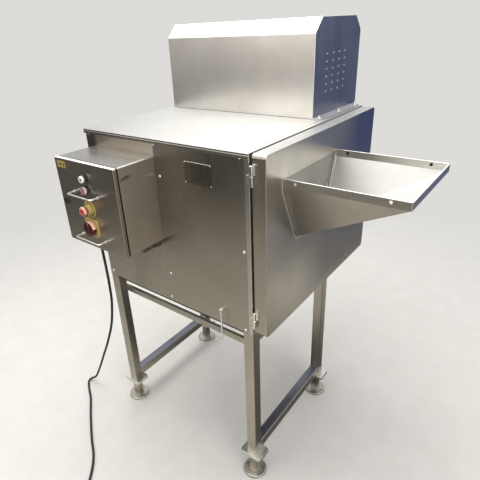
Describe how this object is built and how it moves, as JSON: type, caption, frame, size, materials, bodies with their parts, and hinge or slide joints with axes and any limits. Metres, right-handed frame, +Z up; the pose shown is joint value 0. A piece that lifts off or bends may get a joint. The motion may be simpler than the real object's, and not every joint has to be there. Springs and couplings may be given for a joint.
{
  "type": "meat injector",
  "caption": "Brine needle injector on a four-legged stand: sheet-steel housing with side door and infeed scoop, drive hood, control box, needle head over a belt.",
  "frame": {"origin": "underside of the front foot on the infeed side, at its centre, at floor level", "axes": "+Z up, +X towards the infeed side with the door and scoop, -Y towards the side with the control box"},
  "size_m": [1.3732, 1.3964, 1.603],
  "materials": {
    "brushed_sheet": "brushed stainless sheet",
    "frame_tube": "brushed stainless square tube",
    "bright_steel": "polished stainless",
    "machined_steel": "machined stainless",
    "etched_plate": "blank etched plate",
    "seal_rubber": "matt black",
    "cable_sheath": "black cable sheath",
    "black_plastic": "black",
    "white_plastic": "white",
    "red_plastic": "red",
    "yellow_plastic": "yellow",
    "guide_plastic": "white food-grade plastic",
    "belt": "blue food-grade belt",
    "motor_grey": "grey painted aluminium housing",
    "carriage_alloy": "machined alloy"
  },
  "bodies": {
    "housing": {"front_panel": "brushed_sheet", "left_panel": "brushed_sheet", "rear_shell": "brushed_sheet", "top_panel": "brushed_sheet", "base_pan": "brushed_sheet", "bulkhead": "brushed_sheet", "outfeed_chute": "brushed_sheet", "hood": "brushed_sheet", "control_box": "brushed_sheet", "stand_frame": "frame_tube", "foot_front_left": "frame_tube", "foot_front_right": "frame_tube", "foot_back_left": "frame_tube", "foot_back_right": "frame_tube", "upper_hinge_fixed_half": "bright_steel", "lower_hinge_fixed_half": "bright_steel", "guide_column_left": "bright_steel", "guide_column_right": "bright_steel", "conveyor_frame": "machined_steel", "column_bridge": "machined_steel", "brine_pump": "machined_steel", "data_plate": "etched_plate", "power_cable": "cable_sheath", "power_gland": "black_plastic", "motor_gland": "black_plastic", "mains_plug": "red_plastic", "conveyor_belt": "belt", "conveyor_gearmotor": "motor_grey", "lift_gearmotor": "motor_grey", "pump_motor": "motor_grey", "drain_valve": "motor_grey"},
    "main_door": {"main_door": "brushed_sheet", "door_gasket": "seal_rubber", "infeed_chute": "brushed_sheet", "upper_hinge_door_half": "bright_steel", "lower_hinge_door_half": "bright_steel"},
    "infeed_flap": {"infeed_flap": "brushed_sheet"},
    "door_latch": {"door_latch": "bright_steel"},
    "box_door": {"control_box_door": "brushed_sheet", "control_box_seal": "seal_rubber", "button_bezel": "black_plastic", "selector_bezel": "black_plastic", "estop_plate": "yellow_plastic", "main_switch_plate": "yellow_plastic", "upper_guard_bar": "bright_steel", "lower_guard_bar": "bright_steel"},
    "start_button": {"start_button": "white_plastic"},
    "mode_selector": {"mode_selector": "white_plastic"},
    "estop": {"estop_button": "red_plastic"},
    "main_switch": {"main_switch_knob": "red_plastic"},
    "box_lock": {"box_lock": "black_plastic"},
    "drain_lever": {"drain_lever": "bright_steel"},
    "idler_roller": {"idler_roller": "machined_steel"},
    "drive_roller": {"drive_roller": "machined_steel"},
    "needle_head": {"needle_manifold": "machined_steel", "lift_carriage": "carriage_alloy", "lift_rack": "machined_steel", "brine_feed_inner": "bright_steel"},
    "lift_pinion": {"lift_pinion": "machined_steel"},
    "stripper": {"stripper_plate": "guide_plastic"}
  },
  "joints": [
    {"name": "main_door_swing", "type": "hinge", "parent": "housing", "child": "main_door", "pos_m": [0.0325, -0.0285, 0.985], "axis": [0, 0, -1], "range_deg": [0, 115]},
    {"name": "infeed_flap_swing", "type": "hinge", "parent": "main_door", "child": "infeed_flap", "pos_m": [0.0665, 0.243, 1.204], "axis": [0, 1, 0], "range_deg": [0, 75]},
    {"name": "door_latch_turn", "type": "hinge", "parent": "main_door", "child": "door_latch", "pos_m": [0.05, 0.622, 0.685], "axis": [0, 0, 1], "range_deg": [0, 90]},
    {"name": "control_box_door_swing", "type": "hinge", "parent": "housing", "child": "box_door", "pos_m": [-0.3493, -0.1795, 1.0795], "axis": [0, 0, 1], "range_deg": [0, 120]},
    {"name": "start_button_press", "type": "slide", "parent": "box_door", "child": "start_button", "axis": [0, 1, 0], "range_m": [0, 0.004], "stiffness_N_per_m": 300},
    {"name": "mode_selector_turn", "type": "hinge", "parent": "box_door", "child": "mode_selector", "pos_m": [-0.5, -0.186, 1.139], "axis": [0, 1, 0], "range_deg": [-45, 45]},
    {"name": "estop_press", "type": "slide", "parent": "box_door", "child": "estop", "axis": [0, 1, 0], "range_m": [0, 0.006], "stiffness_N_per_m": 300},
    {"name": "main_switch_turn", "type": "hinge", "parent": "box_door", "child": "main_switch", "pos_m": [-0.5, -0.186, 1.008], "axis": [0, 1, 0], "range_deg": [0, 90]},
    {"name": "box_lock_turn", "type": "hinge", "parent": "box_door", "child": "box_lock", "pos_m": [-0.625, -0.186, 1.0795], "axis": [0, 1, 0], "range_deg": [0, 90]},
    {"name": "drain_lever_turn", "type": "hinge", "parent": "housing", "child": "drain_lever", "pos_m": [-0.096, -0.02, 0.746], "axis": [0, 1, 0], "range_deg": [0, 90]},
    {"name": "drive_roller_turn", "type": "hinge", "parent": "housing", "child": "drive_roller", "pos_m": [-0.642, 0.243, 0.923], "axis": [0, 1, 0], "continuous": true},
    {"name": "idler_roller_turn", "type": "hinge", "parent": "housing", "child": "idler_roller", "pos_m": [-0.016, 0.243, 0.923], "axis": [0, 1, 0], "continuous": true},
    {"name": "needle_head_lift", "type": "slide", "parent": "housing", "child": "needle_head", "axis": [0, 0, -1], "range_m": [0, 0.125]},
    {"name": "lift_pinion_turn", "type": "hinge", "parent": "housing", "child": "lift_pinion", "pos_m": [-0.3375, 0.6095, 1.325], "axis": [1, 0, 0], "range_deg": [0, 287]},
    {"name": "stripper_drop", "type": "slide", "parent": "housing", "child": "stripper", "axis": [0, 0, -1], "range_m": [0, 0.09], "stiffness_N_per_m": 60}
  ],
  "couplings": [
    {"joint": "idler_roller_turn", "follows": "drive_roller_turn", "ratio": 1},
    {"joint": "lift_pinion_turn", "follows": "needle_head_lift", "rad_per_m": 40}
  ]
}
